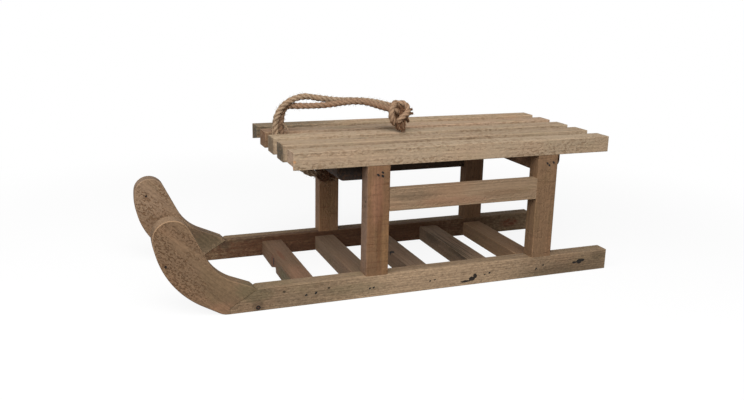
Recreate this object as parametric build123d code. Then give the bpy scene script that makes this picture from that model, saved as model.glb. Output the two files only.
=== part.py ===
"""Small wooden sled: two sawn runners with scarfed-on horns, four posts, slatted deck and floor, rope handle.

Millimetres. +X forward to the horns, +Y to the left, +Z up. The origin is on the floor under the
middle of the runners.
"""
import os
from math import asin, cos, degrees, radians, sin, tan

from build123d import *

# Batten stock that nearly every piece is cut from
STOCK_W = 27.0
STOCK_T = 20.0
EDGE_R = 0.8

# Runners
RUNNER_LENGTH = 590.0
GAUGE = 210.0
HEEL_X = -RUNNER_LENGTH / 2
TIP_X = RUNNER_LENGTH / 2
RUNNER_Y = (GAUGE - STOCK_T) / 2

# Horns: each is sawn from a wide board and scarfed to the front of its runner
HORN_REACH = 115.5
SCARF_RUN = 33.0
SCARF_FOOT = 7.0
NOTCH_RUN = 2.5
BROKEN_RUN = 7.0
TOE_RUN = 7.4
TOE_R = 20.0
THROAT_ANGLE = 64.0
THROAT_R = 56.0
HORN_EDGE = 0.8
SCARF_X = TIP_X - HORN_REACH

# The two sides, each with the cut of its own horn.
# Columns: side, direction, flat ramp's angle and length, radius of the front and of the tip, height,
# angle of the shoulder
SIDES = [
    ("left", 1, 30.0, 26.7, 102.0, 20.8, 115.4, 22.8),
    ("right", -1, 25.0, 30.0, 86.2, 19.1, 117.9, 24.5),
]

# Posts, and the rails that tie each pair together
POST_W = 28.2
POST_HEIGHT = 134.5
HEEL_TO_POST = 101.9
POST_SPACING = 228.7
TIE_THICK = 12.0
TIE_DROP = 29.0
REAR_POST_X = HEEL_X + HEEL_TO_POST
FRONT_POST_X = REAR_POST_X + POST_SPACING
DECK_Z = STOCK_W + POST_HEIGHT

# Cross bearers under the deck, rough slabs that are flush with the posts inside and have the log's bark
# edge outside. Columns: end, width, direction of the bark edge
BEARERS = [
    ("front", 58.5, 1),
    ("rear", 44.0, -1),
]
BARK_R = 8.0

# Deck slats: node, centre across, width
DECK_LENGTH = 420.0
DECK_OVERHANG = 88.9
DECK_SLATS = [
    ("deck_slat_1", 91.5, 26.0),
    ("deck_slat_2", 44.0, 28.5),
    ("deck_slat_3", -1.5, 27.5),
    ("deck_slat_4", -45.5, 26.5),
    ("deck_slat_5", -91.5, 26.0),
]

# Floor slats between the runners: node, centre ahead of the rear posts
FLOOR_LIFT = 0.5
FLOOR_SLATS = [
    ("floor_slat_1", 311.1),
    ("floor_slat_2", 235.1),
    ("floor_slat_3", 160.1),
    ("floor_slat_4", 74.1),
    ("floor_slat_5", 1.6),
]

# Rope handle: two strands between a knot under the deck and a knot that lies on it
ROPE_D = 8.0
REST_GAP = 0.3
KNOT_R = 16.0
KNOT_FACE_R = 12.0
KNOT_LENGTH = 31.0
KNOT_BACK_R = 8.0
KNOT_LEAN = 15.0
BELLY_FROM = 0.25
BELLY_TO = 0.6
HANDLE_FACE = (-18.5, -1.0, 210.0)
HITCH_LENGTH = 26.8
HITCH_R = 14.0
HITCH_DROP = 13.0
HITCH_Y = -17.0
TAIL_R = 6.0
TAIL_TIP_R = 3.0
TAIL_X = -36.0

# Pieces broken off the front lower edge of three slats.
# Columns: node, height, depth, places across where it starts, is highest from, is highest to and ends
CHIPS = [
    ("deck_slat_1", 4.2, 9.0, (-13.5, -13.0, 10.0, 12.0)),
    ("deck_slat_5", 5.0, 30.0, (-11.0, 12.0, 14.0, 14.5)),
    ("floor_slat_1", 6.8, 8.0, (-33.0, -12.0, -10.5, -8.0)),
]


def batten(length, width, thick, axis):
    """A batten along one axis, centred, with its four long edges eased."""
    size = {
        Axis.X: (length, width, thick),
        Axis.Y: (width, length, thick),
        Axis.Z: (width, thick, length),
    }[axis]
    solid = Box(*size)
    return fillet(solid.edges().filter_by(axis), EDGE_R)


# Scarf in side view: from the runner's top down to its blunt foot under the horn
SCARF_TOP = Vector(SCARF_X, STOCK_W)
SCARF_END = Vector(SCARF_X + SCARF_RUN, SCARF_FOOT)
SCARF_SOLE = Vector(SCARF_END.X, 0)


def runner():
    """Runner with its front end cut to the scarf, its foot reaching under the horn."""
    outline = make_face(
        Polyline((HEEL_X, 0), SCARF_SOLE, SCARF_END, SCARF_TOP, (HEEL_X, STOCK_W), close=True)
    )
    solid = extrude(Plane.XZ * outline, amount=STOCK_T / 2, both=True)
    return fillet(solid.edges().filter_by(Axis.X), EDGE_R)


def horn(ramp_angle, ramp_length, front_r, tip_r, height, shoulder_angle):
    """Upturned horn: a flat ramp off the floor, a round front and tip, and a hollow throat back to the runner.

    The tip's arc touches the front's arc from inside. The horn's thin end is broken off short, which
    leaves a notch in front of the runner's top edge.
    """
    toe = SCARF_SOLE + Vector(TOE_RUN, 0)
    ramp = Vector(cos(radians(ramp_angle)), sin(radians(ramp_angle)))
    ramp_end = toe + ramp * ramp_length
    front_z = ramp_end.Y + ramp.X * front_r
    below_front = degrees(asin((front_z - height + tip_r) / (front_r - tip_r)))
    front_turn = 90 - ramp_angle - below_front
    throat_dir = Vector(cos(radians(THROAT_ANGLE)), sin(radians(THROAT_ANGLE)))

    sole = FilletPolyline(SCARF_SOLE, toe, ramp_end, radius=TOE_R)
    bend = JernArc(sole @ 1, ramp, front_r, front_turn)
    crown = JernArc(bend @ 1, bend % 1, tip_r, 90 + THROAT_ANGLE + below_front)
    throat_top = crown @ 1
    rise = tan(radians(shoulder_angle))
    drop = throat_top.Y - SCARF_TOP.Y - (throat_top.X - SCARF_TOP.X) * rise
    throat = throat_top - throat_dir * (drop / (throat_dir.Y - throat_dir.X * rise))
    broken = SCARF_TOP + Vector(BROKEN_RUN, BROKEN_RUN * rise)
    notch = SCARF_TOP + (SCARF_END - SCARF_TOP) * (NOTCH_RUN / SCARF_RUN)
    back = FilletPolyline(throat_top, throat, broken, radius=THROAT_R)
    scarf = Polyline(broken, notch, SCARF_END, SCARF_SOLE)
    outline = make_face([*sole.edges(), bend, crown, *back.edges(), *scarf.edges()])
    solid = extrude(Plane.XZ * outline, amount=STOCK_T / 2, both=True)
    rim = solid.faces().sort_by(Axis.Y)
    return chamfer([e for f in (rim[0], rim[-1]) for e in f.edges()], HORN_EDGE)


def post():
    return batten(POST_HEIGHT, POST_W, STOCK_T, Axis.Z)


def tie():
    """Rail between a side's two posts, thinner than they are and flush with their outer faces."""
    return batten(POST_SPACING - POST_W, TIE_THICK, STOCK_W, Axis.X)


def bearer(width):
    """Slab between a pair of posts, square behind, with the log's bark edge in front."""
    solid = Box(width, GAUGE - 2 * STOCK_T, STOCK_T)
    front = solid.edges().filter_by(Axis.Y).group_by(Axis.X)[-1]
    return fillet(front.sort_by(Axis.Z)[0], BARK_R)


def chip(height, depth, across):
    """Broken-off piece, its lower front edge on the origin and its depth behind it."""
    start, high_from, high_to, end = across
    front = Polyline((start, 0), (high_from, height), (high_to, height), (end, 0), close=True)
    return extrude(Plane.YZ * make_face(front), amount=-depth)


def rope_radii(points):
    """The largest bend that each pair of runs has room for."""
    radii = []
    for before, here, after in zip(points, points[1:], points[2:]):
        turn = (here - before).get_angle(after - here)
        shorter = min((here - before).length, (after - here).length)
        radii.append(0.45 * shorter / tan(radians(turn) / 2))
    return radii


def strand(name, route):
    """One rope strand along straight runs joined by tangent bends."""
    points = [Vector(*p) for p in route]
    radii = rope_radii(points)
    path = FilletPolyline(*points, radius=radii)
    section = Plane(path @ 0, z_dir=path % 0) * Circle(ROPE_D / 2)
    tube = sweep(section, path=path)
    wanted = section.area * path.length
    print(f"{name}: length {path.length:.1f}, radii {min(radii):.1f} to {max(radii):.1f}, "
          f"volume {tube.volume / wanted:.4f} of section times length")
    return tube


def knot(length, face_r, belly_r, back_r):
    """Barrel-shaped knot on +Z, with a flat face where the strands enter."""
    belly = (length * BELLY_FROM, length * BELLY_TO)
    outline = Polyline(
        (0, 0), (face_r, 0), (belly_r, belly[0]), (belly_r, belly[1]), (back_r, length), (0, length), close=True
    )
    return revolve(Plane.XZ * make_face(outline), axis=Axis.Z)


# Strand routes from the knot under the deck, up through the gap between two slats, to the handle's knot
FACE = Vector(*HANDLE_FACE)
INTO_KNOT = Vector(-cos(radians(KNOT_LEAN)), 0, -sin(radians(KNOT_LEAN)))
FACE_UP = Vector(-sin(radians(KNOT_LEAN)), 0, cos(radians(KNOT_LEAN)))
LAST_RUN = 13.0
HITCH_RUN = 9.0
HITCH_FACE_X = FRONT_POST_X + POST_W / 2 + HITCH_LENGTH
# Columns: node, place across the hitch, place across and up the knot's face, points between
STRANDS = [
    ("rope_strand_1", 5.0, (-4.7, 4.8), [
        (97.0, -14.5, 138.5), (110.5, -19.4, 151.5), (121.5, -20.0, 166.0), (127.8, -20.2, 183.0),
        (127.3, -18.8, 203.1), (115.5, -17.6, 220.7), (93.0, -17.0, 228.7), (73.2, -16.5, 225.1),
        (48.5, -14.2, 221.8), (16.0, -10.5, 221.6),
    ]),
    ("rope_strand_2", -5.0, (4.5, 0.3), [
        (97.0, -23.5, 140.5), (106.5, -26.6, 154.0), (119.3, -27.2, 172.5), (116.9, -27.4, 215.2),
        (99.0, -18.0, 215.8), (80.0, -10.2, 216.3), (62.5, -7.0, 217.6), (45.0, -4.7, 219.8),
        (30.0, -2.8, 221.6), (12.8, -0.5, 220.2),
    ]),
]


def build():
    parts = {}
    for side, sign, *horn_cut in SIDES:
        parts[f"runner_{side}"] = Pos(0, sign * RUNNER_Y, 0) * runner()
        parts[f"horn_{side}"] = Pos(0, sign * RUNNER_Y, 0) * horn(*horn_cut)
        post_z = STOCK_W + POST_HEIGHT / 2
        parts[f"post_front_{side}"] = Pos(FRONT_POST_X, sign * RUNNER_Y, post_z) * post()
        parts[f"post_rear_{side}"] = Pos(REAR_POST_X, sign * RUNNER_Y, post_z) * post()
        tie_y = sign * (GAUGE - TIE_THICK) / 2
        tie_z = DECK_Z - TIE_DROP - STOCK_W / 2
        parts[f"tie_{side}"] = Pos((FRONT_POST_X + REAR_POST_X) / 2, tie_y, tie_z) * tie()

    post_x = {"front": FRONT_POST_X, "rear": REAR_POST_X}
    for end, width, bark in BEARERS:
        slab_x = post_x[end] + bark * (width - POST_W) / 2
        slab = bearer(width) if bark > 0 else Rot(0, 0, 180) * bearer(width)
        parts[f"bearer_{end}"] = Pos(slab_x, 0, DECK_Z - STOCK_T / 2) * slab

    deck_x = REAR_POST_X - DECK_OVERHANG + DECK_LENGTH / 2
    for name, across, width in DECK_SLATS:
        slat = batten(DECK_LENGTH, width, STOCK_T, Axis.X)
        parts[name] = Pos(deck_x, across, DECK_Z + STOCK_T / 2) * slat

    for name, ahead in FLOOR_SLATS:
        slat = batten(GAUGE - 2 * STOCK_T, STOCK_W, STOCK_T, Axis.Y)
        parts[name] = Pos(REAR_POST_X + ahead, 0, FLOOR_LIFT + STOCK_T / 2) * slat

    for name, height, depth, across in CHIPS:
        box = parts[name].bounding_box()
        parts[name] -= Pos(box.max.X, box.center().Y, box.min.Z) * chip(height, depth, across)

    bearer_sole = DECK_Z - STOCK_T
    hitch_z = bearer_sole - HITCH_DROP
    hitch = knot(HITCH_LENGTH, KNOT_FACE_R, HITCH_R, KNOT_FACE_R)
    hitch_plane = Plane((HITCH_FACE_X, HITCH_Y, hitch_z), x_dir=(0, 1, 0), z_dir=(-1, 0, 0))
    parts["rope_hitch"] = split(hitch_plane * hitch, bisect_by=Plane.XY.offset(bearer_sole), keep=Keep.BOTTOM)

    barrel = knot(KNOT_LENGTH, KNOT_FACE_R, KNOT_R, KNOT_BACK_R)
    barrel = Plane(FACE, x_dir=(0, 1, 0), z_dir=INTO_KNOT) * barrel
    deck_top = DECK_Z + STOCK_T
    tail_length = FACE.Z - deck_top - REST_GAP
    tail = Cone(TAIL_TIP_R, TAIL_R, tail_length, align=(Align.CENTER, Align.CENTER, Align.MIN))
    parts["rope_knot"] = barrel + Pos(TAIL_X, FACE.Y, deck_top + REST_GAP) * tail

    for name, low, high, middle in STRANDS:
        start = Vector(HITCH_FACE_X, HITCH_Y + low, hitch_z)
        end = FACE + Vector(0, high[0], 0) + FACE_UP * high[1]
        route = [start, start + Vector(HITCH_RUN, 0, 0), *middle, end - INTO_KNOT * LAST_RUN, end]
        parts[name] = strand(name, route)
    return parts


os.makedirs("parts", exist_ok=True)
for node, solid in build().items():
    export_step(solid, f"parts/{node}.step")
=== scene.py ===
"""Small wooden sled: weathered finishes, rope handle and fastenings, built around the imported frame.

The scene is in metres on the frame's own axes: +X forward to the horns, +Y left and +Z up.
Places and sizes in the tables are in millimetres on the same axes.
"""

import math
import random

import bpy
from bpy.props import FloatProperty, FloatVectorProperty, IntProperty, PointerProperty
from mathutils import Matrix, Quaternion, Vector, noise


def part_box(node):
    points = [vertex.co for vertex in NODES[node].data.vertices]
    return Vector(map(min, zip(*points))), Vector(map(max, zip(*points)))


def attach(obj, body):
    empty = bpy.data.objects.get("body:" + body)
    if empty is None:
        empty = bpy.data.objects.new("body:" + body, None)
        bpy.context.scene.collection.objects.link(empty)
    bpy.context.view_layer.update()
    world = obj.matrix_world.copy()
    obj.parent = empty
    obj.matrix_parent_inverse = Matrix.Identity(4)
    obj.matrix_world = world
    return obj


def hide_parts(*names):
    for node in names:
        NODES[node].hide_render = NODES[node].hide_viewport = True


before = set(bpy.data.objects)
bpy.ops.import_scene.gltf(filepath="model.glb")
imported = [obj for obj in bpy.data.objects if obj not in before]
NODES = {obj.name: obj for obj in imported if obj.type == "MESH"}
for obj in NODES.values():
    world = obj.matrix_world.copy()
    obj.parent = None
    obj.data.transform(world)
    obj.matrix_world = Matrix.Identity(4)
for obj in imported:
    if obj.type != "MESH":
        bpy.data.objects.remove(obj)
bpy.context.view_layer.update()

bl_info = {
    "name": "Wooden sled",
    "version": (1, 0, 0),
    "blender": (4, 5, 0),
    "location": "View3D > Sidebar > Sled",
    "description": "Dresses the frame of a small wooden sled with old wood, rope and nails",
    "category": "Object",
}

MM = 0.001
SIDES = {"left": 1, "right": -1}
AXES = "XYZ"

# Places that the tables name: the left side's outer face, the right side's inner face, the top and the
# middle height of the deck slats, and the front of the front posts
OUTER = 105
FAR_INNER = -85
DECK_TOP = 181.5
DECK_MIDDLE = 171
POST_FRONT = 49.7


def srgb(red, green, blue):
    """The linear colour of an 8-bit screen colour."""
    return tuple(((part / 255 + 0.055) / 1.055) ** 2.4 for part in (red, green, blue))


def tinted(colour, red, green, blue):
    """A colour, or any other three parts, each multiplied by its own factor."""
    return tuple(part * factor for part, factor in zip(colour, (red, green, blue)))


# Colours of knots, stains and breaks in the wood, and of painted shade
KNOT_RED = srgb(98, 56, 36)
KNOT_BLACK = srgb(12, 9, 7)
BARK_OLIVE = srgb(92, 86, 62)
# Dark bark, deepened to serve as painted shade under the deck
BARK_AND_SHADE_BLUE = srgb(20, 19, 19)
# Grime, also used for a painted shadow on the deck
GRIME_AND_SHADE = srgb(66, 54, 40)
BROWN = srgb(98, 66, 42)
GOLD = srgb(142, 106, 70)
SAW_RED = srgb(88, 54, 36)
DARK_END = srgb(70, 62, 48)
ROSE = srgb(150, 108, 84)
FRESH_BREAK = srgb(200, 134, 72)
PALE_END = srgb(174, 148, 125)
POST_GREY = srgb(134, 112, 98)
BLEACHED = srgb(162, 137, 110)
BLEACHED_DECK = srgb(171, 150, 125)
# Painted shade: the dark that the deck throws on the far tie
PAINTED_DECK_SHADE = srgb(37, 27, 21)
DARK_SHOULDER = srgb(72, 56, 40)
# Red heartwood darkened into painted shade
HEART_RED_AND_SHADE = srgb(79, 50, 32)

# Saw lines across the left front post: centre ahead, half length, height
FRONT_POST_SAW = [
    (35, 22, 100.5), (27, 16, 90.3), (37, 20, 75.4), (28, 13, 66.3), (35, 24, 43.9), (40, 13, 37.3),
    (40, 13, 127.0),
]

# Dark streaks along the fourth floor slat: place ahead, half width, centre and half length across
FLOOR_STREAKS = [
    (-101.5, 1.6, 20, 60), (-105.0, 1.4, 48, 42), (-108.5, 2.2, 10, 74), (-112.0, 1.5, 40, 50),
    (-115.5, 1.3, -10, 60), (-119.0, 1.2, 30, 40), (-124.0, 1.0, 0, 40),
]

# Stains, and some painted shade, with soft edges. Columns of a row: centre, half sizes, colour, strength
STAINS = {
    "runner_left": [
        ((-48, OUTER, 14), (150, 8, 44), BLEACHED, 0.95),
        ((-240, OUTER, 6), (90, 7, 12), GRIME_AND_SHADE, 0.45),
        ((-282, OUTER, 20), (16, 7, 9), GRIME_AND_SHADE, 0.35),
        ((182, OUTER, 20), (24, 24, 12), BARK_OLIVE, 0.5),
        ((180.5, OUTER, 5), (9, 6, 9), GRIME_AND_SHADE, 0.5),
        ((60, OUTER, 13), (46, 7, 10), BARK_OLIVE, 0.3),
    ],
    "runner_right": [
        # Red wood and painted shade of the deck on the far runner's inner face, darkest in the middle
        ((10, FAR_INNER, 13), (300, 12, 60), HEART_RED_AND_SHADE, 0.97),
        ((-259, FAR_INNER, 13), (20, 8, 9), KNOT_RED, 0.5),
        ((183, FAR_INNER, 20), (9, 24, 9), GRIME_AND_SHADE, 0.6),
        ((150, FAR_INNER, 26), (34, 8, 4), GRIME_AND_SHADE, 0.45),
    ],
    "horn_left": [
        ((190, OUTER, 27), (20, 24, 15), BARK_OLIVE, 0.55),
        ((222, OUTER, 8), (20, 24, 9), ROSE, 0.3),
    ],
    "horn_right": [
        ((216, FAR_INNER, 34), (44, 24, 26), DARK_SHOULDER, 0.8),
        ((204, FAR_INNER, 24), (28, 24, 18), BARK_OLIVE, 0.3),
        ((262, FAR_INNER, 50), (36, 24, 28), BROWN, 0.35),
    ],
    "floor_slat_1": [
        ((131.5, -22, 10), (11, 14, 12), KNOT_RED, 0.7),
        ((132, 46, 9), (9, 56, 12), BARK_OLIVE, 0.75),
        ((118, 50, 21), (14, 40, 4), ROSE, 0.2),
        ((122, -20, 20.5), (4, 26, 4), KNOT_RED, 0.5),
    ],
    "floor_slat_4": [
        *[((x, y, 20), (half, length, 7), GRIME_AND_SHADE, 0.85) for x, half, y, length in FLOOR_STREAKS],
        ((-106, -40, 16), (6, 30, 8), GRIME_AND_SHADE, 0.6),
    ],
    "deck_slat_1": [
        ((-140, 91.5, 183), (200, 30, 4), BLEACHED_DECK, 0.8),
        ((140, 91.5, DECK_MIDDLE), (5, 26, 22), PALE_END, 0.95),
        ((137, OUTER, 171.5), (2.6, 3, 2.4), FRESH_BREAK, 0.55),
        ((138.5, OUTER, 164.5), (1.8, 3, 2.4), FRESH_BREAK, 0.45),
    ],
    "deck_slat_2": [((140, 44, DECK_MIDDLE), (6, 26, 18), DARK_END, 0.95)],
    "deck_slat_3": [((140, -2, DECK_MIDDLE), (6, 24, 18), GRIME_AND_SHADE, 0.6)],
    "deck_slat_4": [
        ((-5, -57, DECK_TOP), (48, 3, 4), GRIME_AND_SHADE, 0.5),
        # Dark streak by the knot: painted shadow of the handle's knot along the slat's near edge
        ((-24, -35, DECK_TOP), (28, 3, 4), GRIME_AND_SHADE, 0.6),
        ((140, -45, DECK_MIDDLE), (6, 24, 18), BROWN, 0.85),
        ((137, -32, DECK_MIDDLE), (15, 5, 18), BROWN, 0.7),
        ((124, -45, DECK_TOP), (44, 26, 8), BROWN, 0.6),
    ],
    "deck_slat_5": [
        ((140, -91, DECK_MIDDLE), (6, 24, 18), DARK_END, 0.95),
        ((137, -78, DECK_MIDDLE), (17, 5, 18), DARK_END, 0.85),
        ((108, -91, DECK_TOP), (96, 30, 8), DARK_END, 0.65),
    ],
    "post_front_left": [
        ((POST_FRONT, 95, 95), (1.5, 16, 110), POST_GREY, 0.6),
        ((34, OUTER, 95), (4.5, 8, 78), BROWN, 0.75),
        ((24, OUTER, 62), (9, 8, 46), GOLD, 0.5),
        ((38, OUTER, 125), (10, 8, 40), ROSE, 0.5),
        *[((x, OUTER, z), (half, 8, 1.1), SAW_RED, 0.3) for x, half, z in FRONT_POST_SAW],
    ],
    "post_front_right": [((POST_FRONT, -95, 95), (1.5, 16, 110), POST_GREY, 0.5)],
    "tie_left": [
        ((-10, OUTER, 122), (40, 6, 6), GRIME_AND_SHADE, 0.35),
        ((-60, OUTER, 112), (60, 6, 7), ROSE, 0.35),
        ((-130, OUTER, 118), (45, 6, 5), BROWN, 0.3),
    ],
    # Painted shade: the far tie's inner face darkened all over, as in the deck's shadow
    "tie_right": [((-79, -93, 120), (220, 8, 40), PAINTED_DECK_SHADE, 0.9)],
    # Bearers: dark bark, and painted shade of the deck above them
    "bearer_rear": [((-226, 0, 148), (16, 100, 16), BARK_AND_SHADE_BLUE, 0.95)],
    "bearer_front": [((60, 0, 150), (60, 200, 40), BARK_AND_SHADE_BLUE, 0.92)],
}

# Knots and pin holes with crisp edges. Columns of a row: centre, half sizes, colour
KNOTS = {
    "runner_left": [
        ((-93, OUTER, 7.8), (5, 7, 3.4), KNOT_BLACK), ((-97.5, OUTER, 11), (3, 7, 4), KNOT_BLACK),
        ((-84, OUTER, 5.5), (8, 7, 1.6), KNOT_BLACK), ((-253, OUTER, 14.5), (4.5, 7, 3.4), KNOT_BLACK),
        ((-258, OUTER, 15.5), (4, 7, 2), KNOT_BLACK), ((-247, OUTER, 13.5), (5, 7, 1.6), KNOT_BLACK),
        ((96, OUTER, 18), (2, 5, 1.6), GRIME_AND_SHADE), ((150, OUTER, 20), (2, 5, 1.6), GRIME_AND_SHADE),
    ],
    "runner_right": [
        ((-253, FAR_INNER, 15.5), (5, 8, 1.5), KNOT_RED), ((-262, FAR_INNER, 11.5), (6, 8, 1.8), KNOT_RED),
        ((-257, FAR_INNER, 18.5), (3, 8, 1.3), KNOT_RED), ((-268, FAR_INNER, 15.0), (2.5, 8, 1.6), KNOT_RED),
    ],
    "horn_left": [((281, OUTER, 64.2), (1.7, 4, 1.9), KNOT_BLACK)],
    "horn_right": [((282.4, FAR_INNER, 95.4), (1.6, 4, 1.4), KNOT_BLACK)],
    "floor_slat_1": [((132, -21, 12), (4, 3.4, 6), KNOT_BLACK)],
    "floor_slat_3": [((-22, 12, 20.5), (4, 4.5, 7), KNOT_BLACK)],
    "deck_slat_2": [((32.6, 36, DECK_TOP), (7, 1.1, 4), KNOT_BLACK)],
    "deck_slat_4": [((13.5, -54.6, DECK_TOP), (9, 1.2, 4), BROWN)],
    "post_front_left": [
        ((POST_FRONT, 99, 118), (4, 1.6, 1.6), GRIME_AND_SHADE), ((POST_FRONT, 97, 112), (4, 1.2, 2), GRIME_AND_SHADE),
    ],
}

# Where the horns' fibres are torn most: centre, half sizes. Then how much they are torn elsewhere
TORN_FRONT = ((274, 0, 60), (58, 400, 90))
TORN_ELSEWHERE = 0.15

# Painted light on the horns: what a horn's colour is multiplied by on the top edge of its crown, and on the
# arris beside it.
# The left horn's crown and both arrises get a painted highlight, the right horn's crown painted shade.
CROWN_LIGHT_AND_SHADE = {
    "horn_left": ((1.34, 1.36, 1.4), (1.8, 1.8, 1.8)),
    "horn_right": ((0.86, 0.88, 0.92), (1.25, 1.25, 1.25)),
}

# What a piece's own colour is multiplied by
TINTS = {
    "horn_left": (0.84, 0.84, 0.84),
    "horn_right": (1.13, 1.18, 1.28),
    "floor_slat_1": (0.8, 0.72, 0.67),
    "floor_slat_3": (0.93, 0.92, 0.92),
    "floor_slat_5": (1.6, 1.5, 1.35),
    "post_front_right": (1.4, 1.4, 1.35),
    "deck_slat_1": (0.97, 0.98, 0.99),
    "deck_slat_3": (1.1, 1.12, 1.13),
    "deck_slat_4": (1.19, 1.17, 1.19),
    "deck_slat_5": (1.18, 1.19, 1.17),
    "runner_left": (0.98, 0.96, 0.93),
    "runner_right": (0.88, 0.85, 0.78),
    "post_front_left": (0.86, 0.83, 0.77),
    "post_rear_left": (0.92, 0.96, 0.95),
    "tie_left": (0.95, 0.95, 0.94),
}

# Nails in the sides: ahead, up, size and turn on the left outer face. The right side repeats them.
NAILS = [
    (123.7, 12.5, 1.0, 35), (111.9, 13.8, 1.1, 40), (44.3, 11.3, 0.95, 30), (39.4, 11.9, 0.9, 40),
    (-35.4, 11.5, 0.8, 20), (-41.8, 12.5, 0.8, 30), (-111.6, 11.6, 0.9, 30), (-118.2, 13.2, 0.95, 35),
    (-187.2, 11.1, 0.95, 40), (-197.5, 15.0, 0.9, 15), (36.7, 150.6, 1.25, -50), (31.1, 153.3, 1.2, -40),
    (31.0, 149.0, 1.3, -45), (-192.0, 151.1, 1.1, -40), (-195.0, 148.5, 1.15, -50), (-200.9, 151.9, 1.2, -45),
]
SCARF_SCREW = (180.5, 4.2)

# Rope handle: face, lean and centre of the knot on the deck, face of the hitch under it, and how far the
# strands run straight at each of them
KNOT_FACE = Vector((-18.5, -1.0, 210.0))
KNOT_LEAN = math.radians(15)
INTO_KNOT = Vector((-math.cos(KNOT_LEAN), 0, -math.sin(KNOT_LEAN)))
FACE_UP = Vector((-math.sin(KNOT_LEAN), 0, math.cos(KNOT_LEAN)))
KNOT_CENTRE = Vector((-30.4, -1.0, 205.0))
HITCH_FACE = Vector((76.5, -17.0, 128.5))
LAST_RUN = 13.0
HITCH_RUN = 9.0

# Strands. Columns: frame node, length, place across the hitch, place across and up the handle's knot,
# points between
STRANDS = [
    ("rope_strand_1", 257.7, 5.0, (-4.7, 4.8), [
        (97.0, -14.5, 138.5), (110.5, -19.4, 151.5), (121.5, -20.0, 166.0), (127.8, -20.2, 183.0),
        (127.3, -18.8, 203.1), (115.5, -17.6, 220.7), (93.0, -17.0, 228.7), (73.2, -16.5, 225.1),
        (48.5, -14.2, 221.8), (16.0, -10.5, 221.6),
    ]),
    ("rope_strand_2", 245.1, -5.0, (4.5, 0.3), [
        (97.0, -23.5, 140.5), (106.5, -26.6, 154.0), (119.3, -27.2, 172.5), (116.9, -27.4, 215.2),
        (99.0, -18.0, 215.8), (80.0, -10.2, 216.3), (62.5, -7.0, 217.6), (45.0, -4.7, 219.8),
        (30.0, -2.8, 221.6), (12.8, -0.5, 220.2),
    ]),
]

# Turns of rope in the handle's knot, from its centre: back along the sled, up, and to the left.
# Columns: thickness at the start and at the end, points
KNOT_TURNS = [
    (1.0, 1.0, [
        (-4.5, 13.5, 0), (-11.5, 7, 6.5), (-13.5, -1, 9), (-10, -10, 8), (-3.5, -14.5, 2), (4.5, -11, -6.5),
        (7, 0, -11), (2, 11, -8), (-4.5, 13.5, 0), (-10.5, 8.5, 5),
    ]),
    (0.95, 0.95, [
        (-9, 2, -4), (-3, 11, -3), (5, 13.5, 1), (11.5, 9, 4), (10, 1, 9), (3, -2, 13), (-3, -7, 12.5),
        (-4, -13, 6), (3, -14, -2), (10, -8, -2), (12, -1, 3), (8, 3, 6),
    ]),
]
KNOT_CORE = [
    (1.3, 1.3, [(-7, 1, -3), (-1, 8, -3), (8, 6, -2), (7, -5, 1), (-1, -9, 0), (-7, -3, -3)]),
    (1.1, 1.1, [(4, 9, -3), (7, 4, -1), (4, -1, 2), (0, -3, 4)]),
]
CUT_ENDS = [
    (0.8, 0.42, [(2, 0, 2), (7, 3, 5), (12, 5, 6), (17.5, 4.5, 5)]),
    (0.8, 0.42, [(0, -3, 4), (6, -2, 8), (11, 0, 8), (18, -0.5, 6)]),
    (0.7, 0.5, [(2, -4, 6), (7, -6, 9), (10, -8, 8), (12, -11, 6)]),
]

# The end that has come apart, from the knot's centre as above: its root and tip, how far its yarns spread
# there, how far they bend aside, and their thickness at both ends
TAIL_FROM = Vector((-1.0, -9.0, 8.0))
TAIL_TO = Vector((1.5, -23.0, 14.0))
ROOT_SPREAD = (6.5, 3, 4)
TIP_SPREAD = (3.2, 0, 3.0)
YARN_BEND = 2
YARN_THICKNESS = (0.3, 0.12)

# Yarns that came loose where the rope enters the deck, in the sled's own places
LOOSE_YARNS = [
    [(118.0, -21.0, 194.0), (113.5, -19.8, 190.0), (110.5, -18.8, 184.0), (110.0, -18.8, 176.0)],
    [(130.0, -21.0, 190.0), (131.0, -19.5, 186.0), (131.0, -19.0, 181.0), (130.0, -19.5, 175.0)],
]

# View of the photograph
CAMERA_PLACE = Vector((362.3, 931.1, 357.7)) * MM
CAMERA_AIM = Vector((32.3, 74.6, 112.6)) * MM
CAMERA_ROLL = math.radians(1.19)

# Features of the wood. Columns: length along the grain and width across it in millimetres, detail
STREAK = (240, 7, 2)
FIBRE = (40, 1.1, 3)
SPECK = (3.4, 2.6, 1)
RING_WOBBLE = (120, 26, 2)
RAGGED = (5, 3, 3)
SAW_STEP = (11, 26, 1)
SAW_LINE = (3.4, 34, 2)

# Torn fibres. Columns: feature and limits of the fibres, feature and limits of their rows or patches
TORN_ROWS = ((5, 3.6, 3), (0.47, 0.6), (170, 8, 2), (0.34, 0.58))
TORN_PATCHES = ((3.2, 1.9, 1), (0.5, 0.58), (60, 11, 2), (0.3, 0.54))

# Patches of another tint. Columns: feature, its limits, what the wood's colour is multiplied by
ROSY = ((90, 34, 2), (0.46, 0.68), (1.12, 0.93, 0.86))
OLIVE = ((60, 22, 2), (0.48, 0.7), (0.84, 0.9, 0.8))

# Noise on the rope. Columns: features in a metre along it and in a turn round it, offset, detail
ROPE_FINE = ((90, 26, 1), (0, 0, 3), 4.0)
ROPE_BROAD = ((45, 3, 1), (7, 2, 5), 2.0)

# What the wood's colour is multiplied by in saw lines, on end grain, in torn fibres and on worn edges
SAWN = (0.62, 0.45, 0.36)
END_GRAIN = (0.6, 0.56, 0.5)
TORN = (0.52, 0.44, 0.36)
WORN = (1.2, 1.19, 1.18)

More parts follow.
